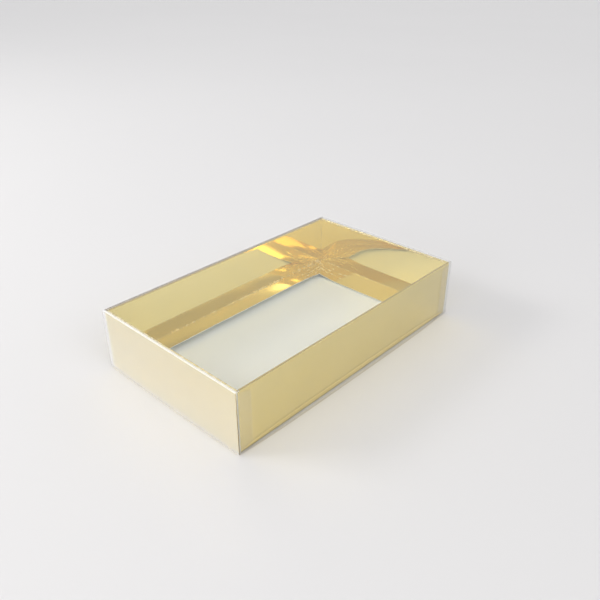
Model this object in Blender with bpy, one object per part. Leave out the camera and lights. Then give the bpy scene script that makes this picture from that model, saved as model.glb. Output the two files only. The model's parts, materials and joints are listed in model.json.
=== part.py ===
"""Low card gift box: a tray folded from gold metallised card, under a full-depth clear film lid.

The tray is one creased sheet. Each wall rises from the floor, turns over at a narrow rim, comes
down again inside, and ends in a loose flange over the floor. The ends of the two long walls fold
round the corners and are caught in the hollow of the short walls. The lid is one creased sheet
too: a top, four skirts, and four tabs that hold its corners together.

Frame: metres, +Z up, +X along the box, origin on the table at the middle of the footprint.
Front is -Y, back +Y, left -X and right +X.
"""

import math

import bmesh
import bpy

# Tray
TRAY_LENGTH = 0.2000
TRAY_WIDTH = 0.1180
TRAY_HEIGHT = 0.0406
CARD = 0.00045
CREASE_GAP = 0.0003

# Hollow between the outer and the inner wall of the long sides
LONG_HOLLOW = 0.0006

# Height of the crease where an inner wall ends and its flange begins, and the flange's width
LONG_FOOT = 0.0045
SHORT_FOOT = 0.0042
LONG_FLANGE = 0.0145
SHORT_FLANGE = 0.0180

# How far the creases let the flanges come down from level: the long ones stay a little above it
LONG_FLANGE_LEAN = math.radians(-3)
SHORT_FLANGE_LEAN = math.radians(7)

# Tabs in the hollow of the short walls
TAB_LENGTH = 0.0260
TAB_TAPER = 0.0040
TAB_TRIM = 0.0008

# Lid
FILM = 0.0003
LID_CLEARANCE = 0.0009
SKIRT_FOOT = 0.0005
LONG_BOW = 0.0020
SHORT_BOW = 0.0008
LID_TAB_LENGTH = 0.0100
LID_TAB_TAPER = 0.0030

# How a skirt bulges: flat in the middle of its length, fading towards its top crease
BOW_LENGTH_POWER = 4
BOW_HEIGHT_POWER = 1.2
SKIRT_COLUMNS = 24
SKIRT_ROWS = 5

# Places that follow from the sizes above
SHORT_HOLLOW = CARD + 2 * CREASE_GAP
LONG_RIM = 2 * CARD + LONG_HOLLOW
SHORT_RIM = 2 * CARD + SHORT_HOLLOW
WALL_TOP = TRAY_HEIGHT - CARD - CREASE_GAP
FLOOR_TOP = CARD + CREASE_GAP
LID_LENGTH = TRAY_LENGTH + 2 * (LID_CLEARANCE + FILM)
LID_WIDTH = TRAY_WIDTH + 2 * (LID_CLEARANCE + FILM)
LID_UNDERSIDE = TRAY_HEIGHT + CREASE_GAP
SKIRT_TOP = LID_UNDERSIDE - CREASE_GAP


class Side:
    """One side of the box, seen in its own frame: x along the wall, y outwards, z up."""

    def __init__(self, name, turn, run, reach, is_long):
        self.name = name
        self.turn = turn
        self.run = run
        self.reach = reach
        self.is_long = is_long
        self.rim = LONG_RIM if is_long else SHORT_RIM
        self.foot = LONG_FOOT if is_long else SHORT_FOOT
        self.flange = LONG_FLANGE if is_long else SHORT_FLANGE
        self.lean = LONG_FLANGE_LEAN if is_long else SHORT_FLANGE_LEAN
        self.bow = LONG_BOW if is_long else SHORT_BOW

    def place(self, part, along=0, outwards=0, up=0, lean=0):
        """Stands an object on this side, at a point given in the side's own frame."""
        across = math.sin(self.turn)
        ahead = math.cos(self.turn)
        part.location = (ahead * along - across * outwards, across * along + ahead * outwards, up)
        part.rotation_euler = (lean, 0, self.turn)


SIDES = [
    Side("back", 0, TRAY_LENGTH, TRAY_WIDTH / 2, True),
    Side("left", math.pi / 2, TRAY_WIDTH, TRAY_LENGTH / 2, False),
    Side("front", math.pi, TRAY_LENGTH, TRAY_WIDTH / 2, True),
    Side("right", -math.pi / 2, TRAY_WIDTH, TRAY_LENGTH / 2, False),
]
LONG_SIDES = [side for side in SIDES if side.is_long]
SHORT_SIDES = [side for side in SIDES if not side.is_long]


def clear_scene():
    for thing in list(bpy.data.objects):
        bpy.data.objects.remove(thing, do_unlink=True)


def finish(name, colour, metallic, roughness, transmission=0):
    """One Principled material for one finish."""
    material = bpy.data.materials.new(name)
    material.use_nodes = True
    shader = material.node_tree.nodes["Principled BSDF"]
    shader.inputs["Base Color"].default_value = (*colour, 1)
    shader.inputs["Metallic"].default_value = metallic
    shader.inputs["Roughness"].default_value = roughness
    shader.inputs["Transmission Weight"].default_value = transmission
    return material


def add_part(name, bm, material):
    """Turns a closed bmesh into a named object with its own copy of a finish."""
    bmesh.ops.recalc_face_normals(bm, faces=bm.faces)
    mesh = bpy.data.meshes.new(name)
    bm.to_mesh(mesh)
    bm.free()
    part = bpy.data.objects.new(name, mesh)
    part.data.materials.append(material.copy())
    bpy.context.scene.collection.objects.link(part)
    return part


def flat_panel(name, outline, thickness, material):
    """A flat sheet: the outline, a list of points in order, given its thickness."""
    bm = bmesh.new()
    face = bm.faces.new([bm.verts.new(point) for point in outline])
    face.normal_update()
    inwards = -thickness * face.normal
    grown = bmesh.ops.extrude_face_region(bm, geom=[face])
    moved = [item for item in grown["geom"] if isinstance(item, bmesh.types.BMVert)]
    bmesh.ops.translate(bm, verts=moved, vec=inwards)
    return add_part(name, bm, material)


def upright(left, right, low, high, y):
    """Outline of a rectangle that stands in a side's frame and faces outwards."""
    return [(right, y, low), (left, y, low), (left, y, high), (right, y, high)]


def lying(half_length, near, far, z):
    """Outline of a rectangle that lies flat in a side's frame and faces up."""
    return [(-half_length, near, z), (half_length, near, z), (half_length, far, z), (-half_length, far, z)]


def make_floor(card):
    half_length = TRAY_LENGTH / 2 - CARD - CREASE_GAP
    half_width = TRAY_WIDTH / 2 - CARD - CREASE_GAP
    flat_panel("tray_floor", lying(half_length, -half_width, half_width, CARD), CARD, card)


def make_outer_wall(side, card):
    """A short wall covers the box's full width, and a long wall ends behind the short ones."""
    half = side.run / 2 - (CARD + CREASE_GAP if side.is_long else 0)
    wall = flat_panel(f"{side.name}_outer_wall", upright(-half, half, 0, WALL_TOP, 0), CARD, card)
    side.place(wall, outwards=side.reach)


def make_rim(side, card):
    """The narrow strip between the two creases over which a wall turns back down."""
    half = side.run / 2 - (SHORT_RIM + CREASE_GAP if side.is_long else 0)
    strip = flat_panel(f"{side.name}_rim", lying(half, -side.rim, 0, TRAY_HEIGHT), CARD, card)
    side.place(strip, outwards=side.reach)


def make_inner_wall(side, card):
    """A long inner wall runs behind the ends of the short ones, so the corner stays shut."""
    if side.is_long:
        half = side.run / 2 - SHORT_RIM + CARD - CREASE_GAP
    else:
        half = side.run / 2 - LONG_RIM - CREASE_GAP
    outer_face = CARD - side.rim
    outline = upright(-half, half, side.foot, WALL_TOP, outer_face)
    wall = flat_panel(f"{side.name}_inner_wall", outline, CARD, card)
    side.place(wall, outwards=side.reach)


def make_flange(side, card):
    """The free end of the card, hinged on the crease at the inner wall's foot.

    Its ends are mitred along the line from the tray's inner corner to the corner of the bare floor.
    """
    neighbour = SHORT_SIDES[0] if side.is_long else LONG_SIDES[0]
    root_half = side.run / 2 - neighbour.rim - 2 * CREASE_GAP
    free_half = root_half - (neighbour.flange * math.cos(neighbour.lean) - CREASE_GAP)
    outline = [
        (-free_half, -side.flange, 0),
        (free_half, -side.flange, 0),
        (root_half, -CREASE_GAP, 0),
        (-root_half, -CREASE_GAP, 0),
    ]
    flange = flat_panel(f"{side.name}_flange", outline, CARD, card)
    side.place(flange, outwards=side.reach - side.rim, up=side.foot, lean=side.lean)


def make_corner_tab(side, neighbour, hand, card):
    """The end of a long wall, folded round the corner and caught inside a short wall."""
    y = -CARD - CREASE_GAP
    root = hand * (side.run / 2 - CARD - CREASE_GAP)
    tip = root - hand * TAB_LENGTH
    low = FLOOR_TOP
    high = WALL_TOP - TAB_TRIM
    outline = [(root, y, low), (tip, y, low + TAB_TAPER), (tip, y, high - TAB_TAPER), (root, y, high)]
    if hand < 0:
        outline.reverse()
    tab = flat_panel(f"{neighbour.name}_{side.name}_corner_tab", outline, CARD, card)
    side.place(tab, outwards=side.reach)


def make_lid_top(film):
    outline = lying(LID_LENGTH / 2, -LID_WIDTH / 2, LID_WIDTH / 2, LID_UNDERSIDE + FILM)
    flat_panel("lid_top", outline, FILM, film)


def make_skirt(side, film):
    """A hanging side of the lid, which bulges outwards along its free lower edge."""
    half = side.run / 2 + LID_CLEARANCE + (FILM if side.is_long else -CREASE_GAP)
    outer = []
    for row in range(SKIRT_ROWS + 1):
        up_share = row / SKIRT_ROWS
        for column in range(SKIRT_COLUMNS + 1):
            x_share = 2 * column / SKIRT_COLUMNS - 1
            along_share = 1 - abs(x_share) ** BOW_LENGTH_POWER
            bulge = side.bow * along_share * (1 - up_share) ** BOW_HEIGHT_POWER
            z = SKIRT_FOOT + up_share * (SKIRT_TOP - SKIRT_FOOT)
            outer.append((x_share * half, bulge, z))
    bm = bmesh.new()
    verts = [bm.verts.new(point) for point in outer]
    step = SKIRT_COLUMNS + 1
    faces = []
    for row in range(SKIRT_ROWS):
        for column in range(SKIRT_COLUMNS):
            first = row * step + column
            corners = (first, first + step, first + step + 1, first + 1)
            faces.append(bm.faces.new([verts[corner] for corner in corners]))
    grown = bmesh.ops.extrude_face_region(bm, geom=faces)
    moved = [item for item in grown["geom"] if isinstance(item, bmesh.types.BMVert)]
    bmesh.ops.translate(bm, verts=moved, vec=(0, -FILM, 0))
    skirt = add_part(f"lid_{side.name}_skirt", bm, film)
    skirt.data.shade_smooth()
    skirt.data.set_sharp_from_angle(angle=math.radians(30))
    side.place(skirt, outwards=side.reach + LID_CLEARANCE + FILM)


def make_lid_tab(side, neighbour, hand, film):
    """The end of a short skirt, folded round the corner and fixed behind a long one."""
    y = -FILM - CREASE_GAP
    root = hand * (side.run / 2 + LID_CLEARANCE - CREASE_GAP)
    tip = root - hand * LID_TAB_LENGTH
    outline = [
        (root, y, SKIRT_FOOT),
        (tip, y, SKIRT_FOOT + LID_TAB_TAPER),
        (tip, y, SKIRT_TOP - LID_TAB_TAPER),
        (root, y, SKIRT_TOP),
    ]
    if hand < 0:
        outline.reverse()
    tab = flat_panel(f"lid_{side.name}_{neighbour.name}_tab", outline, FILM, film)
    side.place(tab, outwards=side.reach + LID_CLEARANCE + FILM)


def neighbour_at(side, hand, others):
    """The side that meets this one at its end on the given hand, +1 or -1, in its own frame."""
    end = hand * math.cos(side.turn), hand * math.sin(side.turn)
    for other in others:
        outwards = -math.sin(other.turn), math.cos(other.turn)
        if end[0] * outwards[0] + end[1] * outwards[1] > math.cos(math.pi / 4):
            return other
    raise ValueError(side.name)


clear_scene()
gold_card = finish("gold_card", (0.86, 0.68, 0.30), 1, 0.12)
white_card = finish("white_card", (0.80, 0.79, 0.74), 0, 0.6)
clear_film = finish("clear_film", (0.95, 0.97, 0.97), 0, 0.03, transmission=1)

make_floor(white_card)
for tray_side in SIDES:
    make_outer_wall(tray_side, gold_card)
    make_rim(tray_side, gold_card)
    make_inner_wall(tray_side, gold_card)
    make_flange(tray_side, gold_card)
for short_side in SHORT_SIDES:
    for hand in (-1, 1):
        make_corner_tab(short_side, neighbour_at(short_side, hand, LONG_SIDES), hand, white_card)

make_lid_top(clear_film)
for lid_side in SIDES:
    make_skirt(lid_side, clear_film)
for long_side in LONG_SIDES:
    for hand in (-1, 1):
        make_lid_tab(long_side, neighbour_at(long_side, hand, SHORT_SIDES), hand, clear_film)
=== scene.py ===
"""Shallow gift box: a tray folded from mirror-gold card, under a lid folded from clear film.

The file follows the box as it is put together: the floor of the tray, its folded walls, the loose
flanges inside, the tabs in the corners, then the lid, and last the table, the light and the camera.
Everything is in metres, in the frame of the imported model: +Z up, +X along the box.
"""

import json
import math

import bpy
import numpy as np
from mathutils import Matrix, Vector


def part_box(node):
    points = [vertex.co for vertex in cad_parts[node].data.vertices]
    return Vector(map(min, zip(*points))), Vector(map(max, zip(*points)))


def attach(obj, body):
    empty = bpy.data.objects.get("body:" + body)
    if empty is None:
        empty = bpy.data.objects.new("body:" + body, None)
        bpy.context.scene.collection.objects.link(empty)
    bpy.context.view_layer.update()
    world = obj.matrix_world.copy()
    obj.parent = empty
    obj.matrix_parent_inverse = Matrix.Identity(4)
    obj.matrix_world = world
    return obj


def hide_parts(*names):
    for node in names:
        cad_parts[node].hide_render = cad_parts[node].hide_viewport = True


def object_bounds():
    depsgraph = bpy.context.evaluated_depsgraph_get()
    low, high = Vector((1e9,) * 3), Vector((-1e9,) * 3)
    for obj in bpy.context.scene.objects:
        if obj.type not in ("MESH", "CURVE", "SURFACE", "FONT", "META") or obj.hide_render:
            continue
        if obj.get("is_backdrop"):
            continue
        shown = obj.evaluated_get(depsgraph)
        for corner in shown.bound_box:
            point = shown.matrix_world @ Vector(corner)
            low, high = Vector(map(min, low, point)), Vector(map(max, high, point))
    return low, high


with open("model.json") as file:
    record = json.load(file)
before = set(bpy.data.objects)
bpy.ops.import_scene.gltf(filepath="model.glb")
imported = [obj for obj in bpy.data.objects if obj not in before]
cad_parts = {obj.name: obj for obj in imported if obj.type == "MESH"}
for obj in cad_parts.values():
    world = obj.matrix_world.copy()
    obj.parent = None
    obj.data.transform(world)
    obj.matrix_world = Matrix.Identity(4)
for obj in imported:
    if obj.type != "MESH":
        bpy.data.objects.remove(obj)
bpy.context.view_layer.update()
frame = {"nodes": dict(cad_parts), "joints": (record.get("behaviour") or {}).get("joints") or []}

# Tray floor
# The base panel of the folded card. The card is laminated with gold foil on one face only, and that
# face is outside, so the floor shows its white reverse inside and gold underneath.

FLOOR_RISE = 0.0003
FLOOR_LINES = (60, 36)
SHARP_ANGLE = math.radians(35)
# Sockets of the Mix node: the share, the two colours, and the colour that comes out
SHARE, FIRST, SECOND, MIXED = 0, 6, 7, 2
# Most values of a noise texture lie in this range
NOISE_RANGE = (0.3, 0.7)
# The faint clouds of a coat or a laminate
CLOUD_SIZE = 0.035

REVERSE_WHITE = "F5F8F3"
REVERSE_SHADE = "F0F4ED"
REVERSE_ROUGHNESS = (0.55, 0.68)
FIBRE_SIZE = 0.0006
FIBRE_BUMP = {"Strength": 0.25, "Distance": 0.00002}

FOIL_GOLD = "FCEAA4"
FOIL_GOLD_DEEP = "FAE79C"
FOIL_ROUGHNESS = (0.045, 0.075)
PEEL_SIZE = 0.0009
PEEL_BUMP = {"Strength": 0.10, "Distance": 0.000004}
LAMINATE_SIZE = 0.012
# Metallic value of clean and of worn foil
FOIL_METALLIC = (0.94, 0.35)
# Pale, rougher gold of cracked foil. Along the creases it also serves as painted highlight.
WORN_AND_HIGHLIGHT_GOLD = "FAE9B8"
WORN_ROUGHNESS = 0.35
# Brown of the painted shade at the foot of the outer walls, where they stand on the table
FOOT_SHADE_BROWN = "7A6A4C"
CRACK_SIZE = 0.0030
# Values of the noise where a crack begins and where it's whole
CRACK_RANGE = (0.45, 0.6)


def linear(hex_colour):
    """Linear RGBA of an sRGB hex colour. A part v becomes v / 12.92 up to 0.04045, and above that
    ((v + 0.055) / 1.055) ** 2.4."""
    parts = [int(hex_colour[place : place + 2], 16) / 255 for place in (0, 2, 4)]
    return (*[v / 12.92 if v <= 0.04045 else ((v + 0.055) / 1.055) ** 2.4 for v in parts], 1)


def add_node(tree, kind, inputs=(), output=0, **settings):
    """Adds a node and sets its properties. Its inputs, by name or in the node's own order, get
    values or the outputs of other nodes. Returns the output asked for, or the node where it has
    none."""
    node = tree.nodes.new(kind)
    for name, value in settings.items():
        setattr(node, name, value)
    for socket, value in inputs.items() if isinstance(inputs, dict) else enumerate(inputs):
        if isinstance(value, bpy.types.NodeSocket):
            tree.links.new(value, node.inputs[socket])
        else:
            node.inputs[socket].default_value = value
    return node.outputs[output] if len(node.outputs) else node


def new_material(name):
    """An empty material, its node tree and its object coordinates, in metres."""
    material = bpy.data.materials.new(name)
    material.use_nodes = True
    material.node_tree.nodes.clear()
    place = add_node(material.node_tree, "ShaderNodeTexCoord", output="Object")
    return material, material.node_tree, place


def lumps(place, size, detail=3.0):
    """Inputs of a noise texture with lumps about the given size across: its scale is 1 / size."""
    return {"Vector": place, "Scale": 1 / size, "Detail": detail}


def white_card_reverse():
    """Uncoated side of folding box board: matt, faintly warm, with a fine felt of fibres."""
    material, tree, place = new_material("uncoated_card_reverse")
    cloud = add_node(tree, "ShaderNodeTexNoise", lumps(place, CLOUD_SIZE))
    fibre = add_node(tree, "ShaderNodeTexNoise", lumps(place, FIBRE_SIZE, detail=2.0))
    inputs = {SHARE: cloud, FIRST: linear(REVERSE_WHITE), SECOND: linear(REVERSE_SHADE)}
    colour = add_node(tree, "ShaderNodeMix", inputs, MIXED, data_type="RGBA")
    rough = add_node(tree, "ShaderNodeMapRange", (fibre, *NOISE_RANGE, *REVERSE_ROUGHNESS))
    felt = add_node(tree, "ShaderNodeBump", {"Height": fibre, **FIBRE_BUMP})
    inputs = {"Base Color": colour, "Roughness": rough, "Normal": felt}
    shader = add_node(tree, "ShaderNodeBsdfPrincipled", inputs)
    add_node(tree, "ShaderNodeOutputMaterial", {"Surface": shader})
    return material


def gold_foil():
    """Gold metallised film laminated on card: close to a mirror, with the faint orange peel of the
    glue. Along creases and cut edges, where one attribute is 1, it's cracked, pale and rougher. On
    the creases that the window lights and on the sharp creases of the flanges, that pale foil is
    also painted highlight. Along the foot of the tray, a second attribute mixes in brown painted
    shade where the walls stand on the table."""
    material, tree, place = new_material("gold_metallised_foil")
    cloud = add_node(tree, "ShaderNodeTexNoise", lumps(place, CLOUD_SIZE))
    peel = add_node(tree, "ShaderNodeTexNoise", lumps(place, PEEL_SIZE, detail=1.0))
    laminate = add_node(tree, "ShaderNodeTexNoise", lumps(place, LAMINATE_SIZE))
    crackle = add_node(tree, "ShaderNodeTexNoise", lumps(place, CRACK_SIZE))
    wear_and_highlight = add_node(tree, "ShaderNodeAttribute", output="Fac", attribute_name="wear_and_highlight")
    foot_shade = add_node(tree, "ShaderNodeAttribute", output="Fac", attribute_name="foot_shade")
    cracks = add_node(tree, "ShaderNodeMapRange", (crackle, *CRACK_RANGE, 0.0, 1.0))
    # How much of the pale gold of cracked foil and painted highlight is mixed in
    pale_share = add_node(tree, "ShaderNodeMath", (wear_and_highlight, cracks), operation="MULTIPLY")
    inputs = {SHARE: cloud, FIRST: linear(FOIL_GOLD), SECOND: linear(FOIL_GOLD_DEEP)}
    clean = add_node(tree, "ShaderNodeMix", inputs, MIXED, data_type="RGBA")
    inputs = {SHARE: pale_share, FIRST: clean, SECOND: linear(WORN_AND_HIGHLIGHT_GOLD)}
    pale_colour = add_node(tree, "ShaderNodeMix", inputs, MIXED, data_type="RGBA")
    # Painted shade: brown at the foot of the outer walls
    inputs = {SHARE: foot_shade, FIRST: pale_colour, SECOND: linear(FOOT_SHADE_BROWN)}
    foot_shaded = add_node(tree, "ShaderNodeMix", inputs, MIXED, data_type="RGBA")
    smooth = add_node(tree, "ShaderNodeMapRange", (laminate, *NOISE_RANGE, *FOIL_ROUGHNESS))
    rougher = add_node(tree, "ShaderNodeMapRange", (pale_share, 0.0, 1.0, 0.0, WORN_ROUGHNESS))
    inputs = {
        "Base Color": foot_shaded,
        "Metallic": add_node(tree, "ShaderNodeMapRange", (pale_share, 0.0, 1.0, *FOIL_METALLIC)),
        "Roughness": add_node(tree, "ShaderNodeMath", (smooth, rougher)),
        "Normal": add_node(tree, "ShaderNodeBump", {"Height": peel, **PEEL_BUMP}),
    }
    shader = add_node(tree, "ShaderNodeBsdfPrincipled", inputs)
    add_node(tree, "ShaderNodeOutputMaterial", {"Surface": shader})
    return material


def grid_faces(rows, columns):
    """Quads of a grid of points that are numbered row by row: each point, the next one, and the two
    beyond them in the next row."""
    first = (np.arange(rows - 1)[:, None] * columns + np.arange(columns - 1)[None, :]).ravel()
    return np.stack([first, first + 1, first + columns + 1, first + columns], axis=1)


def sheet_normals(points, rows, columns, towards):
    """Normals of a grid of points, the cross product of its two slopes, on the side given."""
    grid = points.reshape(rows, columns, 3)
    normals = np.cross(np.gradient(grid, axis=0), np.gradient(grid, axis=1)).reshape(-1, 3)
    normals /= np.linalg.norm(normals, axis=1)[:, None]
    return normals * np.sign((normals * towards).sum(axis=1))[:, None]


def sheet_solid(name, points, normals, faces, thickness, front, back, edge=None):
    """A closed sheet: its front surface, the same surface set back by the thickness along the
    normals, and a strip along each edge that only one face has. Faces turn towards the normals."""
    corners = points[faces[:, :3]]
    facing = np.cross(corners[:, 1] - corners[:, 0], corners[:, 2] - corners[:, 0])
    wrong = (facing * normals[faces].sum(axis=1)).sum(axis=1) < 0
    faces = np.where(wrong[:, None], faces[:, ::-1], faces)
    count = len(points)
    start = faces.ravel()
    end = np.roll(faces, -1, axis=1).ravel()
    alone = ~np.isin(start * count + end, end * count + start)
    start, end = start[alone], end[alone]
    strips = np.stack([end, start, start + count, end + count], axis=1)
    layers = np.concatenate([points, points - thickness * normals])
    blocks = [faces, faces[:, ::-1] + count, strips]
    mesh = bpy.data.meshes.new(name)
    mesh.from_pydata(layers.tolist(), [], np.concatenate(blocks).tolist())
    finishes = [front, back, edge or back]
    kinds = list(dict.fromkeys(finishes))
    for kind in kinds:
        mesh.materials.append(kind)
    lengths = [len(block) for block in blocks]
    slots = np.repeat([kinds.index(finish) for finish in finishes], lengths)
    mesh.polygons.foreach_set("material_index", slots.astype(np.int32))
    mesh.shade_smooth()
    mesh.set_sharp_from_angle(angle=SHARP_ANGLE)
    piece = bpy.data.objects.new(name, mesh)
    bpy.context.scene.collection.objects.link(piece)
    return piece


def add_attribute(piece, name, values):
    """Gives a sheet one value for each point of its front surface, and the same on its back."""
    layer = piece.data.attributes.new(name, "FLOAT", "POINT")
    layer.data.foreach_set("value", np.tile(values.ravel(), 2).astype(np.float32))


reverse_card = white_card_reverse()
foil = gold_foil()

floor_low, floor_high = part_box("tray_floor")
card = floor_high.z - floor_low.z
floor_x, floor_y = np.meshgrid(
    np.linspace(floor_low.x, floor_high.x, FLOOR_LINES[0]),
    np.linspace(floor_low.y, floor_high.y, FLOOR_LINES[1]),
    indexing="ij",
)
# The floor rises a little in its middle: one cosine hump along times one across.
hump = np.cos(math.pi / 2 * floor_x / floor_high.x) * np.cos(math.pi / 2 * floor_y / floor_high.y)
points = np.stack([floor_x, floor_y, floor_high.z + FLOOR_RISE * hump], axis=-1).reshape(-1, 3)
normals = sheet_normals(points, *FLOOR_LINES, (0, 0, 1))
faces = grid_faces(*FLOOR_LINES)
white_floor = sheet_solid(
    "white_floor_panel", points, normals, faces, card, reverse_card, foil, reverse_card
)
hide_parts("tray_floor")
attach(white_floor, "tray")

# Folded walls
# Each wall is one strip of the same card: up from the floor, over a narrow rim with two rounded
# creases, and down again inside as far as the crease of the flange, so foil shows on both faces.

# How far each side is turned about Z from where the back one stands
TURNS = {"back": 0, "left": math.pi / 2, "front": math.pi, "right": -math.pi / 2}
LONG_NAMES = ("front", "back")
CREASE_RADIUS = 0.0005
CREASE_STEPS = 6
CORNER_GAP = 0.00003
WALL_COLUMNS = 121
WALL_ROWS = 34
# Height of an extra row of points over the foot inside, which keeps the pale band of cracked foil
# and painted highlight narrow
FOOT_ROW = 0.0004
OUTER_RIPPLE = 0.00012
INNER_RIPPLE = 0.00006
RIPPLE_LENGTHS = (0.110, 0.063, 0.041)
# How far the waves move on from one crease to the next, in radians
RIPPLE_SLANT = 2
SHORT_INNER_BELLY = 0.0007
BELLY_TOP_SHARE = 0.36
BELLY_HEIGHT_POWER = 1.3
BELLY_LENGTH_POWER = 6
# How cracked and pale the creases at the foot inside and along the rim are. The pale foil there is
# partly painted highlight, strongest on the left rim, where the window light falls, and at the foot
# of the back wall.
FOOT_WEAR_AND_HIGHLIGHT = {"back": 4.5, "right": 1.0, "left": 1.0, "front": 1.0}
FOOT_WEAR_AND_HIGHLIGHT_REACH = 0.0009
RIM_WEAR_AND_HIGHLIGHT = {"left": 1.0, "back": 0.2, "right": 0.7, "front": 0.3}
CORNER_WEAR_AND_HIGHLIGHT_REACH = 0.045
CORNER_WEAR_AND_HIGHLIGHT_LEAST = 0.2
# How hard the corners at the two ends of each side were creased, and so how strong their pale
# cracked foil and painted highlight are, seen from inside left to right
END_WEAR_AND_HIGHLIGHT = {"back": (0.2, 1.0), "left": (0.5, 0.2), "front": (0.6, 0.5), "right": (1.0, 0.6)}
# Painted shade at the floor: how dark a brown each outer wall gets there, and how high up that
# reaches
FOOT_SHADE = {"left": 0.1, "back": 0.5, "right": 0.5, "front": 0.6}
FOOT_SHADE_HEIGHT = 0.0008


def stand_at(turn, along, outwards, up):
    """Points given along a side, outwards and up, turned about Z to where that side stands."""
    along, outwards, up = np.broadcast_arrays(along, outwards, up)
    x = math.cos(turn) * along - math.sin(turn) * outwards
    y = math.sin(turn) * along + math.cos(turn) * outwards
    return np.stack([x, y, up], axis=-1).reshape(-1, 3)


def panel_at(side, name):
    """Half length, far and near distance from the middle, bottom and top of a side's CAD panel."""
    low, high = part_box(name)
    run, out = (0, 1) if side in LONG_NAMES else (1, 0)
    near, far = sorted((abs(low[out]), abs(high[out])))
    return high[run], far, near, low.z, high.z


def ripple(along, share, seed):
    """Waviness from -1 to 1: three long sine waves along the wall, slanted a little with height,
    times a half sine of the share, so that it's nothing at share 0 and 1, where a crease is."""
    phases = np.random.default_rng(seed).uniform(0, 2 * math.pi, len(RIPPLE_LENGTHS))
    waves = [
        np.sin(2 * math.pi * along / length + phase + RIPPLE_SLANT * share)
        for length, phase in zip(RIPPLE_LENGTHS, phases)
    ]
    return sum(waves) / len(waves) * np.sin(math.pi * share)


def belly(share):
    """How far a short inner wall stands in, from 0 to 1. Down from the rim it's a parabola that is
    full at BELLY_TOP_SHARE, and from there to the lower crease a quarter cosine to a power."""
    upper = 1 - (1 - share / BELLY_TOP_SHARE) ** 2
    down = np.clip((share - BELLY_TOP_SHARE) / (1 - BELLY_TOP_SHARE), 0, 1)
    lower = np.cos(math.pi / 2 * down) ** BELLY_HEIGHT_POWER
    return np.where(share < BELLY_TOP_SHARE, upper, lower)


def end_wear_and_highlight(side, along, half):
    """How hard a side was creased, and so how strong its pale cracked foil and painted highlight
    are:
    runs evenly from the value of one of its ends to the other's.
    """
    return np.interp(along / half, (-1, 1), END_WEAR_AND_HIGHLIGHT[side])


def corner_wear_and_highlight(side, along, half):
    """How cracked and pale a side's creases are, partly as painted highlight: it falls off
    exponentially with the distance from a corner to CORNER_WEAR_AND_HIGHLIGHT_LEAST, times how hard
    that end was creased."""
    near = np.exp((np.abs(along) - half) / CORNER_WEAR_AND_HIGHLIGHT_REACH)
    return (CORNER_WEAR_AND_HIGHLIGHT_LEAST + (1 - CORNER_WEAR_AND_HIGHLIGHT_LEAST) * near) * end_wear_and_highlight(side, along, half)


# Distance of the gold inner faces from the middle, for the long walls and for the short ones
INNER_REACH = {
    True: panel_at("back", "back_inner_wall")[2],
    False: panel_at("right", "right_inner_wall")[2],
}

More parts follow.
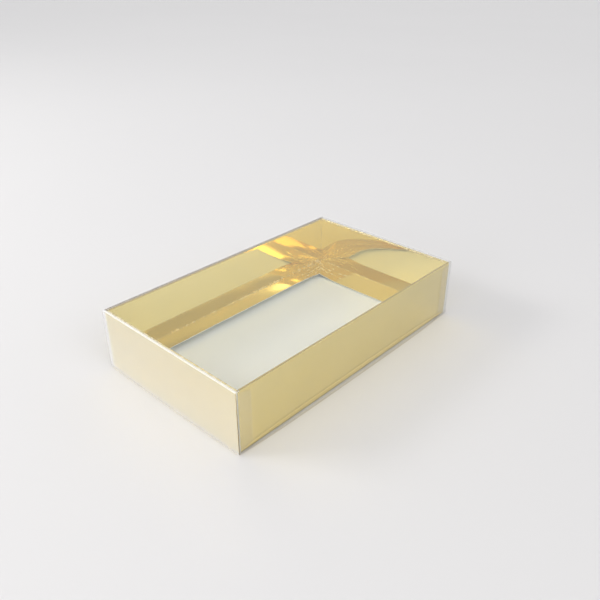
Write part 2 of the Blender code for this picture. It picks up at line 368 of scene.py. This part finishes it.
for seed, (side, turn) in enumerate(TURNS.items()):
    is_long = side in LONG_NAMES
    outer_half, reach, _, _, _ = panel_at(side, f"{side}_outer_wall")
    rim_half, _, rim_inner, _, top = panel_at(side, f"{side}_rim")
    _, _, _, foot, _ = panel_at(side, f"{side}_inner_wall")
    # The inner layer of each wall ends in the corner, against the inner layers of its neighbours.
    inner_half = INNER_REACH[not is_long] - CORNER_GAP
    # The gold face of the strip, from the crease of the floor to its foot inside: a quarter circle,
    # straight up, a quarter circle, the flat rim, a quarter circle, and straight down.
    radius = CREASE_RADIUS
    quarter = np.linspace(0, math.pi / 2, CREASE_STEPS + 1)
    rise = np.append(np.linspace(0, 1, WALL_ROWS), FOOT_SHADE_HEIGHT / (top - 2 * radius))
    drop = np.append(np.linspace(0, 1, WALL_ROWS), 1 - FOOT_ROW / (top - radius - foot))
    rise, drop = np.sort(rise), np.sort(drop)[1:]
    parts = [
        quarter[:-1] - math.pi / 2,
        0 * rise,
        quarter[1:],
        quarter + math.pi / 2,
        0 * drop + math.pi,
    ]
    angle = np.concatenate(parts)
    rows = np.repeat(np.arange(len(parts)), [len(part) for part in parts])
    outer, inner = rows == 1, rows == 4
    share = np.zeros(len(rows))
    share[outer], share[inner] = rise, drop
    centre = np.where(rows < 3, reach - radius, rim_inner + radius)
    height = np.where(outer, radius + share * (top - 2 * radius), top - radius)
    height = np.where(rows == 0, radius, height)
    height = np.where(inner, top - radius - share * (top - radius - foot), height)
    face_out, face_up = np.cos(angle), np.sin(angle)
    outwards = centre + radius * face_out
    up = height + radius * face_up
    half = np.where(rows < 2, outer_half, np.where(inner, inner_half, rim_half))
    columns = np.linspace(-1, 1, WALL_COLUMNS)[None, :]
    along = half[:, None] * columns
    depth = np.where(outer, OUTER_RIPPLE, np.where(inner, INNER_RIPPLE, 0))
    shift = depth[:, None] * ripple(along, share[:, None], seed)
    if not is_long:
        inset = SHORT_INNER_BELLY * inner * belly(share)
        shift = shift + inset[:, None] * (1 - columns**BELLY_LENGTH_POWER)
    points = stand_at(turn, along, outwards[:, None] + shift * face_out[:, None], up[:, None])
    normals = stand_at(turn, 0 * along, face_out[:, None], face_up[:, None])
    faces = grid_faces(len(rows), WALL_COLUMNS)
    wall = sheet_solid(f"{side}_folded_wall", points, normals, faces, card, foil, reverse_card)
    # The crease at the foot cracks most in the corners, where the flanges push against each other.
    # Its pale foil there is partly painted highlight.
    near_foot = FOOT_WEAR_AND_HIGHLIGHT[side] * np.exp((foot - up[:, None]) / FOOT_WEAR_AND_HIGHLIGHT_REACH)
    foot_wear_and_highlight = near_foot * corner_wear_and_highlight(side, along, half[:, None])
    rim_wear_and_highlight = np.where(outer, 0, RIM_WEAR_AND_HIGHLIGHT[side])[:, None] + 0 * along
    add_attribute(wall, "wear_and_highlight", np.where(inner[:, None], foot_wear_and_highlight, rim_wear_and_highlight))
    # Painted shade: the floor crease and the bottom of each outer wall turn brown, fading out
    # upwards
    at_floor = np.clip(1 - (height - radius) / FOOT_SHADE_HEIGHT, 0, 1) * (rows < 2)
    add_attribute(wall, "foot_shade", FOOT_SHADE[side] * at_floor[:, None] + 0 * along)
    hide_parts(f"{side}_outer_wall", f"{side}_rim", f"{side}_inner_wall")
    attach(wall, "tray")

# Flanges
# The loose end of each strip, past the crease at the foot of the inner wall. Nothing holds it down,
# so it stays as the crease left it, and its foil shows the marks of folding. Their pale cracks
# along the sharp creases are partly painted glints.

# In these pairs, True is for the long flanges and False for the short ones
FLANGE_WIDTH = {True: 0.0145, False: 0.0180}
FLANGE_DROOP = {True: 0.0003, False: 0.0006}
FLANGE_LEAN = {True: math.radians(-3), False: math.radians(7)}
# At a mitre the higher, long flange is pressed down and the lower, short one is held up
MITRE_LIFT = {True: -0.0012, False: 0.0014}
MITRE_REACH = 0.009
MITRE_GAP = 0.00008
# A nick at both ends of a short flange's crease lets it fold up beside the long ones
NICK = {True: 0.0, False: 0.0004}
NICK_REACH = 0.0006
FLANGE_COLUMNS = 281
FLANGE_ROWS = 91
FLANGE_RIPPLE = 0.00012
FLANGE_START = 0.00003
# How far the cracks reach in from the free edge
EDGE_WEAR_REACH = 0.0004
# Sharp creases near a mitre: distance from the mitre, depth from the crease, angle and length
CRINKLES = (
    (0.0030, 0.0110, 0.35, 0.0045),
    (0.0065, 0.0080, 0.15, 0.0060),
    (0.0020, 0.0055, 0.90, 0.0040),
    (0.0120, 0.0045, 0.30, 0.0050),
    (0.0150, 0.0115, 0.10, 0.0060),
    (0.0240, 0.0070, -0.20, 0.0050),
)
CRINKLE_WIDTH = 0.00040
CRINKLE_HEIGHT = 0.00006
# How pale the sharp creases are: cracked foil, partly a painted glint
CRINKLE_WEAR_AND_GLINT = 3.5
# Depth over which they begin, so that the flange's own crease stays straight
CRINKLE_START = 0.001

HINGES = {joint["child"]: Vector(joint["pos_m"]) for joint in frame["joints"]}


def crinkles(from_mitre, depth):
    """Height of the sharp creases, 1 at most: each is a ridge that falls off exponentially with the
    distance from its line, and along the line as a Gaussian curve about its middle."""
    total = 0 * from_mitre
    for middle, middle_depth, angle, length in CRINKLES:
        aside, inwards = from_mitre - middle, depth - middle_depth
        forward = math.cos(angle) * aside + math.sin(angle) * inwards
        across = math.cos(angle) * inwards - math.sin(angle) * aside
        total = np.maximum(total, np.exp(-np.abs(across) / CRINKLE_WIDTH - (forward / length) ** 2))
    return total


for seed, (side, turn) in enumerate(TURNS.items()):
    is_long = side in LONG_NAMES
    hinge = HINGES[f"{side}_flange"]
    width, lean = FLANGE_WIDTH[is_long], FLANGE_LEAN[is_long]
    share = np.linspace(0, 1, FLANGE_ROWS)[:, None]
    reach_in = FLANGE_START + (width - FLANGE_START) * share
    # Each end is cut along the mitre, back by the neighbour's level width at the free edge.
    root_half = INNER_REACH[not is_long] - MITRE_GAP
    neighbour = FLANGE_WIDTH[not is_long] * math.cos(FLANGE_LEAN[not is_long])
    half = root_half - neighbour * share - NICK[is_long] * np.exp(-reach_in / NICK_REACH)
    # The columns follow a sine, so they lie closer together near the mitres.
    columns = np.sin(np.linspace(-math.pi / 2, math.pi / 2, FLANGE_COLUMNS))[None, :]
    along = half * columns
    from_mitre = half - np.abs(along)
    begun = np.minimum(1, reach_in / CRINKLE_START)
    creased = crinkles(from_mitre, reach_in) * begun * end_wear_and_highlight(side, along, half)
    # The ripple is nothing at the crease, which is straight, and grows towards the free edge. The
    # flange also droops by the square of the share, from its own weight and the pull of the foil,
    # and a Gaussian curve of the distance from the mitre presses or holds its ends.
    lift = (
        FLANGE_RIPPLE * ripple(along, share / 2, seed + len(TURNS))
        - FLANGE_DROOP[is_long] * share**2
        + MITRE_LIFT[is_long] * share * np.exp(-((from_mitre / MITRE_REACH) ** 2))
        + CRINKLE_HEIGHT * creased
    )
    outwards = hinge.xy.length - reach_in * math.cos(lean) - lift * math.sin(lean)
    up = hinge.z - reach_in * math.sin(lean) + lift * math.cos(lean)
    points = stand_at(turn, along, outwards, up)
    normals = sheet_normals(points, FLANGE_ROWS, FLANGE_COLUMNS, (0, 0, 1))
    faces = grid_faces(FLANGE_ROWS, FLANGE_COLUMNS)
    flange = sheet_solid(f"{side}_loose_flange", points, normals, faces, card, foil, reverse_card)
    # Pale foil at the crease, at the free edge and along the sharp creases. At the crease and the
    # sharp creases it is partly painted highlight.
    near_foot = FOOT_WEAR_AND_HIGHLIGHT[side] * np.exp(-reach_in / FOOT_WEAR_AND_HIGHLIGHT_REACH)
    near_edge = np.exp((reach_in - width) / EDGE_WEAR_REACH)
    wear_and_highlight = near_foot * corner_wear_and_highlight(side, along, half) + near_edge + CRINKLE_WEAR_AND_GLINT * creased
    add_attribute(flange, "wear_and_highlight", wear_and_highlight)
    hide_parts(f"{side}_flange")
    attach(flange, f"{side}_flange")

# Corner tabs
# The ends of the long walls, folded round the corner into the hollow of the short walls. They show
# only at the slits of the corners, and keep the shape of the CAD.


def give_finish(node, finish):
    """Gives a piece that keeps the shape of the CAD its material."""
    slots = frame["nodes"][node].data.materials
    slots.clear()
    slots.append(finish)


for side in LONG_NAMES:
    for neighbour in ("left", "right"):
        give_finish(f"{side}_{neighbour}_corner_tab", reverse_card)

# Lid
# One sheet of clear film, scored and folded: the top and four skirts as deep as the tray, which
# bulge a little along their free lower edge. Each crease is bent to a small radius.

LID_CREASE_RADIUS = 0.0006
TOP_LINES = (121, 73)
TOP_SAG = 0.00015
SKIRT_ROWS = 22
# How far a skirt bulges at its foot, for the long skirts and for the short ones
SKIRT_BOW = {True: 0.0020, False: 0.0008}
BOW_LENGTH_POWER = 4
BOW_HEIGHT_POWER = 1.2
SKIRT_RIPPLE = 0.00008
FILM_IOR = 1.5
FILM_ROUGHNESS = 0.03
# Share of light that single and double film scatter, and how much that varies from place to place
FILM_HAZE = 0.01
DOUBLE_FILM_HAZE = 0.03
HAZE_SPREAD = (0.6, 1.4)
HAZE_SIZE = 0.02
# Share of its shine that the inner side of the film keeps
INNER_SHINE = 0.15
MILK_WHITE = "F4F6F8"
SCORE_AND_SHADE_BROWN = "A08D68"
# Distances in from the edge of the top, and how white and how dark the film is at each of them.
# The white is haze and, on the left and right, painted highlight. The dark is a scored line and
# painted shade.
BORDER = (0.0, 0.0007, 0.0013, 0.0020)
BORDER_MILK_AND_HIGHLIGHT = {
    "left": (0.8, 0.3, 0, 0),
    "back": (0.1, 0, 0, 0),
    "right": (0.3, 0.3, 0.3, 0),
    "front": (0, 0, 0, 0),
}
BORDER_SCORE_AND_SHADE = {
    "left": (0, 0, 0, 0),
    "back": (0.2, 0.6, 0.4, 0),
    "right": (0.1, 0, 0, 0),
    "front": (0, 0.4, 0, 0),
}
# The same for the creases of the skirts, the skirts themselves, their feet and their last ends.
# The white on the left, where the window light falls, is partly painted highlight. The dark at the
# feet and at the end of the front skirt is painted shade.
CREASE_MILK_AND_HIGHLIGHT = {"left": 0.80, "back": 0.60, "right": 0.40, "front": 0.0}
CREASE_SCORE_AND_SHADE = {"left": 0.0, "back": 0.0, "right": 0.2, "front": 0.0}
SKIRT_MILK_AND_HIGHLIGHT = {"left": 0.31, "back": 0.02, "right": 0.02, "front": 0.0}
SKIRT_MILK_AT_TOP = 0.85
SKIRT_MILK_GROWTH = 0.3
FOOT_SCORE_AND_SHADE = {"left": 0.0, "back": 0.0, "right": 0.1, "front": 0.12}
END_SCORE_AND_SHADE = {"left": 0.0, "back": 0.0, "right": 0.0, "front": 0.75}


def border_lines(half, count):
    """Even steps from -half to half, and more lines close to each end, for the border."""
    inwards = half - np.array(BORDER[1:])
    return np.sort(np.concatenate([np.linspace(-half, half, count), -inwards, inwards]))


def clear_film(name, haze, shine_share=1.0):
    """Clear PET film. Both its faces shine, so a sheet sends back 2 F / (1 + F) of the light where
    one face sends back F. Handling leaves it a little milky, and so does bending. One attribute
    says how much white is mixed in, and where it's raised on the side the window lights, it is
    painted highlight. A second attribute tints what passes through brown: the line of a blunt
    blade, and painted shade along edges and feet."""
    material, tree, place = new_material(name)
    inside = add_node(tree, "ShaderNodeNewGeometry", output="Backfacing")
    outside = add_node(tree, "ShaderNodeMath", (1.0, inside), operation="SUBTRACT")
    fresnel = add_node(tree, "ShaderNodeFresnel", {"IOR": FILM_IOR})
    twice = add_node(tree, "ShaderNodeMath", (fresnel, 2.0), operation="MULTIPLY")
    more = add_node(tree, "ShaderNodeMath", (fresnel, 1.0))
    both = add_node(tree, "ShaderNodeMath", (twice, more), operation="DIVIDE")
    shown = add_node(tree, "ShaderNodeMath", (outside, shine_share), operation="MULTIPLY")
    shine = add_node(tree, "ShaderNodeMath", (both, shown), operation="MULTIPLY")
    # What the share of the shine leaves out is kept from passing through.
    hidden = add_node(tree, "ShaderNodeMath", (outside, 1 - shine_share), operation="MULTIPLY")
    lost = add_node(tree, "ShaderNodeMath", (both, hidden), operation="MULTIPLY")
    passed = add_node(tree, "ShaderNodeMath", (1.0, lost), operation="SUBTRACT")
    # Painted shade, with the line of a blunt blade: a brown tint of what passes through
    score_and_shade = add_node(tree, "ShaderNodeAttribute", output="Fac", attribute_name="score_and_shade")
    inputs = {SHARE: score_and_shade, FIRST: passed, SECOND: linear(SCORE_AND_SHADE_BROWN)}
    tint = add_node(tree, "ShaderNodeMix", inputs, MIXED, data_type="RGBA")
    clear = add_node(tree, "ShaderNodeBsdfTransparent", {"Color": tint})
    gloss = add_node(tree, "ShaderNodeBsdfGlossy", {"Roughness": FILM_ROUGHNESS})
    sheet = add_node(tree, "ShaderNodeMixShader", (shine, clear, gloss))
    white = add_node(tree, "ShaderNodeBsdfDiffuse", {"Color": linear(MILK_WHITE)})
    cloud = add_node(tree, "ShaderNodeTexNoise", lumps(place, HAZE_SIZE))
    ends = [share * haze for share in HAZE_SPREAD]
    clouded = add_node(tree, "ShaderNodeMapRange", (cloud, *NOISE_RANGE, *ends))
    # White haze, raised as painted highlight on the side the window lights
    milk_and_highlight = add_node(tree, "ShaderNodeAttribute", output="Fac", attribute_name="milk_and_highlight")
    total = add_node(tree, "ShaderNodeMath", (clouded, milk_and_highlight))
    seen = add_node(tree, "ShaderNodeMath", (total, outside), operation="MULTIPLY")
    mixed = add_node(tree, "ShaderNodeMixShader", (seen, sheet, white))
    add_node(tree, "ShaderNodeOutputMaterial", {"Surface": mixed})
    return material


film = clear_film("clear_pet_film", FILM_HAZE)
film_inside = clear_film("clear_pet_film_inside", FILM_HAZE, INNER_SHINE)
film_edge = clear_film("cut_edge_of_film", DOUBLE_FILM_HAZE, INNER_SHINE)
glued_film = clear_film("glued_double_film", DOUBLE_FILM_HAZE)

top_low, top_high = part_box("lid_top")
thickness = top_high.z - top_low.z
flat_x, flat_y = top_high.x - LID_CREASE_RADIUS, top_high.y - LID_CREASE_RADIUS
top_x, top_y = np.meshgrid(
    border_lines(flat_x, TOP_LINES[0]), border_lines(flat_y, TOP_LINES[1]), indexing="ij"
)
# The top sags by one cosine hump along times one across, as only its edges are held.
sag = TOP_SAG * np.cos(math.pi / 2 * top_x / flat_x) * np.cos(math.pi / 2 * top_y / flat_y)
numbers = np.arange(top_x.size).reshape(top_x.shape)
edges = {
    "back": numbers[:, -1],
    "left": numbers[0],
    "front": numbers[::-1, 0],
    "right": numbers[-1, ::-1],
}
inwards = {
    "back": flat_y - top_y,
    "left": flat_x + top_x,
    "front": flat_y + top_y,
    "right": flat_x - top_x,
}
top_milk_and_highlight = np.max([np.interp(inwards[side], BORDER, BORDER_MILK_AND_HIGHLIGHT[side]) for side in TURNS], axis=0)
top_score_and_shade = np.max([np.interp(inwards[side], BORDER, BORDER_SCORE_AND_SHADE[side]) for side in TURNS], axis=0)
# The lid is put together from the top and four skirts, each as points, normals, faces and values.
lid_points = [np.stack([top_x, top_y, top_high.z - sag], axis=-1).reshape(-1, 3)]
lid_normals = [np.tile((0.0, 0.0, 1.0), (top_x.size, 1))]
lid_faces = [grid_faces(*top_x.shape)]
lid_milk_and_highlight, lid_score_and_shade = [top_milk_and_highlight.ravel()], [top_score_and_shade.ravel()]
for seed, (side, turn) in enumerate(TURNS.items()):
    is_long = side in LONG_NAMES
    skirt_half, _, _, skirt_foot, _ = panel_at(side, f"lid_{side}_skirt")
    reach = top_high.y if is_long else top_high.x
    flat_half = flat_x if is_long else flat_y
    bend = top_high.z - LID_CREASE_RADIUS
    # The skirt from the top's edge down: a quarter circle, then a straight drop that bulges by
    # bow * (1 - |column| ** length power) * (1 - height share) ** height power.
    quarter = np.linspace(0, math.pi / 2, CREASE_STEPS + 1)[:, None]
    height = np.linspace(1, 0, SKIRT_ROWS)[1:, None]
    columns = border_lines(flat_half, TOP_LINES[0 if is_long else 1])[None, :] / flat_half
    widening = flat_half + (skirt_half - flat_half) * np.sin(quarter)
    along = np.concatenate([widening, skirt_half + 0 * height]) * columns
    bulge = SKIRT_BOW[is_long] * (1 - np.abs(columns) ** BOW_LENGTH_POWER)
    bulge = bulge * (1 - height) ** BOW_HEIGHT_POWER
    waves = SKIRT_RIPPLE * ripple(along[CREASE_STEPS + 1 :], 1 - height, seed + 2 * len(TURNS))
    crease_out = reach - LID_CREASE_RADIUS * (1 - np.sin(quarter)) + 0 * columns
    crease_up = bend + LID_CREASE_RADIUS * np.cos(quarter)
    outwards = np.concatenate([crease_out, reach + bulge + waves])
    up = np.concatenate([crease_up, skirt_foot + height * (bend - skirt_foot)])
    points = stand_at(turn, along, outwards, up)
    away = np.concatenate([np.sin(quarter), 1 + 0 * height]) + 0 * along
    upward = np.concatenate([np.cos(quarter), 0 * height]) + 0 * along
    normals = sheet_normals(points, *along.shape, stand_at(turn, 0 * along, away, upward))
    # A crease is whitest where it's bent halfway. A skirt gets milkier towards its foot. On the
    # left, where the window light falls, this white is partly painted highlight.
    bent = np.concatenate([np.sin(2 * quarter), 0 * height])
    low = np.concatenate([0 * quarter, 1 - height])
    at_foot = np.concatenate([0 * quarter, height == 0])
    at_end = (columns == 1) * np.sqrt(low)
    skirt_milk_and_highlight = SKIRT_MILK_AND_HIGHLIGHT[side] * away * (SKIRT_MILK_AT_TOP + SKIRT_MILK_GROWTH * low)
    # The brown at a skirt's foot and end is painted shade
    edge_score_and_shade = np.maximum(FOOT_SCORE_AND_SHADE[side] * at_foot, END_SCORE_AND_SHADE[side] * at_end)
    milk_and_highlight = np.maximum(CREASE_MILK_AND_HIGHLIGHT[side] * bent, skirt_milk_and_highlight)
    score_and_shade = np.maximum(CREASE_SCORE_AND_SHADE[side] * bent, edge_score_and_shade)
    # The first row is the top's own edge, so the faces that start there use the top's points.
    edge = edges[side]
    known = sum(len(block) for block in lid_points) - len(edge)
    strip = grid_faces(*along.shape) + known
    at_edge = strip < known + len(edge)
    strip[at_edge] = edge[strip[at_edge] - known]
    lid_points.append(points[len(edge) :])
    lid_normals.append(normals[len(edge) :])
    lid_faces.append(strip)
    lid_milk_and_highlight.append(milk_and_highlight.ravel()[len(edge) :])
    lid_score_and_shade.append(score_and_shade.ravel()[len(edge) :])
points, normals, faces = [np.concatenate(part) for part in (lid_points, lid_normals, lid_faces)]
lid = sheet_solid(
    "clear_folded_lid", points, normals, faces, thickness, film, film_inside, film_edge
)
add_attribute(lid, "milk_and_highlight", np.concatenate(lid_milk_and_highlight))
add_attribute(lid, "score_and_shade", np.concatenate(lid_score_and_shade))
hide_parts("lid_top", *[f"lid_{side}_skirt" for side in TURNS])
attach(lid, "lid")

# Lid tabs
# The ends of the short skirts, folded round the corner and glued behind the long skirts. They keep
# the shape of the CAD, and show as paler strips, because there the film is double.

for side in LONG_NAMES:
    for neighbour in ("left", "right"):
        give_finish(f"lid_{side}_{neighbour}_tab", glued_film)

# Table, light and camera
# A pale table that runs back out of sight, a grey room with brighter and darker patches, the window
# to the left, and the camera where the photograph was taken from, at 600 x 600 pixels.

TABLE_SIZE = 12.0
TABLE_LINES = 13
TABLE_DROP = 0.0002
TABLE_WHITE = "E6E5E5"
TABLE_SHADE = "E3E2E2"
TABLE_CLOUD_SIZE = 0.4
TABLE_GRAIN_SIZE = 0.004
TABLE_ROUGHNESS = (0.6, 0.7)
TABLE_SPECULAR = 0.35
ROOM_GREY = 0.69
ROOM_TINT = (0.99, 0.99, 1.0, 1)
# Patches of the room: azimuth from +Y towards +X, elevation, the angles where the patch is whole
# and where it ends, and how much brighter it is. Angles in degrees.
ROOM_PATCHES = (
    (0, 90, 25, 50, 0.10),
    (180, 62, 8, 22, 1.0),
    (178, 34, 6, 18, 2.0),
    (47, 30, 10, 60, 0.17),
    (139, 62, 30.5, 32.5, -0.21),
    (-50, 38, 5, 9, 0.10),
    (-48.5, 15, 2.5, 5.5, 3.0),
    (-148, 38, 4.5, 7, 2.4),
    (-145, 31, 2, 5, 0.3),
    (134.5, 24.5, 2.0, 3.6, 2.5),
    (-135, 29.5, 0.8, 1.8, 2.5),
    (140, 27, 3, 6, 0.06),
)
LIGHT_DISTANCE = 1.5
# Azimuth and elevation, width and height, power and colour of the window
WINDOW = (-42, 28.5)
WINDOW_SIZE = (0.62, 0.30)
WINDOW_POWER = 4.8
WINDOW_WHITE = (1.0, 0.98, 0.96)
# A second light at the window's place, which the foil doesn't mirror
SKYLIGHT_POWER = 2.6
# A pale wall off to the left throws light on what stands upright
LEFT_WALL = (-92, 9)
LEFT_WALL_SIZE = (0.7, 0.7)
LEFT_WALL_POWER = 5.8
LEFT_WALL_WHITE = (1.0, 1.0, 1.0)
FOCAL_LENGTH = 38.71
CLIP_START = 0.01
CAMERA_PLACE = (-0.2664, -0.2568, 0.2398)
CAMERA_PITCH = 29.66
CAMERA_AZIMUTH = 47.15
MIRROR_BOUNCES = 10
FILM_CROSSINGS = 24


def direction(azimuth, elevation):
    """The unit vector that points at an azimuth and an elevation in degrees."""
    azimuth, elevation = math.radians(azimuth), math.radians(elevation)
    level = math.cos(elevation)
    return Vector((level * math.sin(azimuth), level * math.cos(azimuth), math.sin(elevation)))


def painted_table():
    """Matt white painted board: almost even, with a faint cloudiness of the coat."""
    material, tree, place = new_material("matt_white_paint")
    cloud = add_node(tree, "ShaderNodeTexNoise", lumps(place, TABLE_CLOUD_SIZE))
    grain = add_node(tree, "ShaderNodeTexNoise", lumps(place, TABLE_GRAIN_SIZE))
    inputs = {SHARE: cloud, FIRST: linear(TABLE_WHITE), SECOND: linear(TABLE_SHADE)}
    inputs = {
        "Base Color": add_node(tree, "ShaderNodeMix", inputs, MIXED, data_type="RGBA"),
        "Roughness": add_node(tree, "ShaderNodeMapRange", (grain, *NOISE_RANGE, *TABLE_ROUGHNESS)),
        "Specular IOR Level": TABLE_SPECULAR,
    }
    shader = add_node(tree, "ShaderNodeBsdfPrincipled", inputs)
    add_node(tree, "ShaderNodeOutputMaterial", {"Surface": shader})
    return material


def area_light(name, towards, size, power, colour, mirrored):
    """A light at LIGHT_DISTANCE from the box in a direction given by azimuth and elevation, facing
    the box. The foil shows its shape only where mirrored is true."""
    data = bpy.data.lights.new(name, "AREA")
    data.shape = "RECTANGLE"
    data.size, data.size_y = size
    data.energy = power
    data.color = colour
    light = bpy.data.objects.new(name, data)
    light.location = LIGHT_DISTANCE * direction(*towards)
    light.rotation_euler = direction(*towards).to_track_quat("Z", "Y").to_euler()
    light.visible_glossy = mirrored
    bpy.context.scene.collection.objects.link(light)
    return light


mesh = bpy.data.meshes.new("table")
lines = np.linspace(-TABLE_SIZE / 2, TABLE_SIZE / 2, TABLE_LINES)
table_x, table_y = np.meshgrid(lines, lines, indexing="ij")
points = np.stack([table_x, table_y, 0 * table_x - TABLE_DROP], axis=-1).reshape(-1, 3)
mesh.from_pydata(points.tolist(), [], grid_faces(*table_x.shape)[:, ::-1].tolist())
mesh.materials.append(painted_table())
table = bpy.data.objects.new("table", mesh)
bpy.context.scene.collection.objects.link(table)
table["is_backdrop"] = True

world = bpy.data.worlds.new("room")
world.use_nodes = True
tree = world.node_tree
tree.nodes.clear()
looking = add_node(tree, "ShaderNodeTexCoord", output="Generated")
room = ROOM_GREY
for azimuth, elevation, whole, end, change in ROOM_PATCHES:
    ahead = (looking, direction(azimuth, elevation))
    near = add_node(tree, "ShaderNodeVectorMath", ahead, "Value", operation="DOT_PRODUCT")
    ends = [math.cos(math.radians(angle)) for angle in (end, whole)]
    inputs = (near, *ends, 0.0, change)
    patch = add_node(tree, "ShaderNodeMapRange", inputs, interpolation_type="SMOOTHSTEP")
    room = add_node(tree, "ShaderNodeMath", (room, patch))
glow = add_node(tree, "ShaderNodeBackground", {"Color": ROOM_TINT, "Strength": room})
add_node(tree, "ShaderNodeOutputWorld", {"Surface": glow})
bpy.context.scene.world = world

window = area_light("window", WINDOW, WINDOW_SIZE, WINDOW_POWER, WINDOW_WHITE, mirrored=True)
skylight = area_light(
    "skylight", WINDOW, WINDOW_SIZE, SKYLIGHT_POWER, WINDOW_WHITE, mirrored=False
)
# As one matrix the window's place differs in the last digits. This line looks needless and isn't:
# with both lights at exactly one place, the render comes out slightly different.
skylight.matrix_world = Matrix.LocRotScale(window.location, window.rotation_euler, None)
area_light(
    "left_wall", LEFT_WALL, LEFT_WALL_SIZE, LEFT_WALL_POWER, LEFT_WALL_WHITE, mirrored=False
)

camera = bpy.data.objects.new("camera", bpy.data.cameras.new("camera"))
camera.data.lens = FOCAL_LENGTH
camera.data.clip_start = CLIP_START
ahead = direction(CAMERA_AZIMUTH, -CAMERA_PITCH)
across = direction(CAMERA_AZIMUTH + 90, 0)
turned = Matrix((across, across.cross(ahead), -ahead)).transposed().to_4x4()
turned.translation = CAMERA_PLACE
camera.matrix_world = turned
bpy.context.scene.collection.objects.link(camera)
bpy.context.scene.camera = camera
bpy.context.scene.view_settings.view_transform = "Standard"
# Light bounces from foil to foil many times and passes several layers of film. Without blurring,
# the foil also throws its glow through the film on to the table.
bpy.context.scene.cycles.glossy_bounces = MIRROR_BOUNCES
bpy.context.scene.cycles.blur_glossy = 0.0
bpy.context.scene.cycles.transparent_max_bounces = FILM_CROSSINGS

low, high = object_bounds()
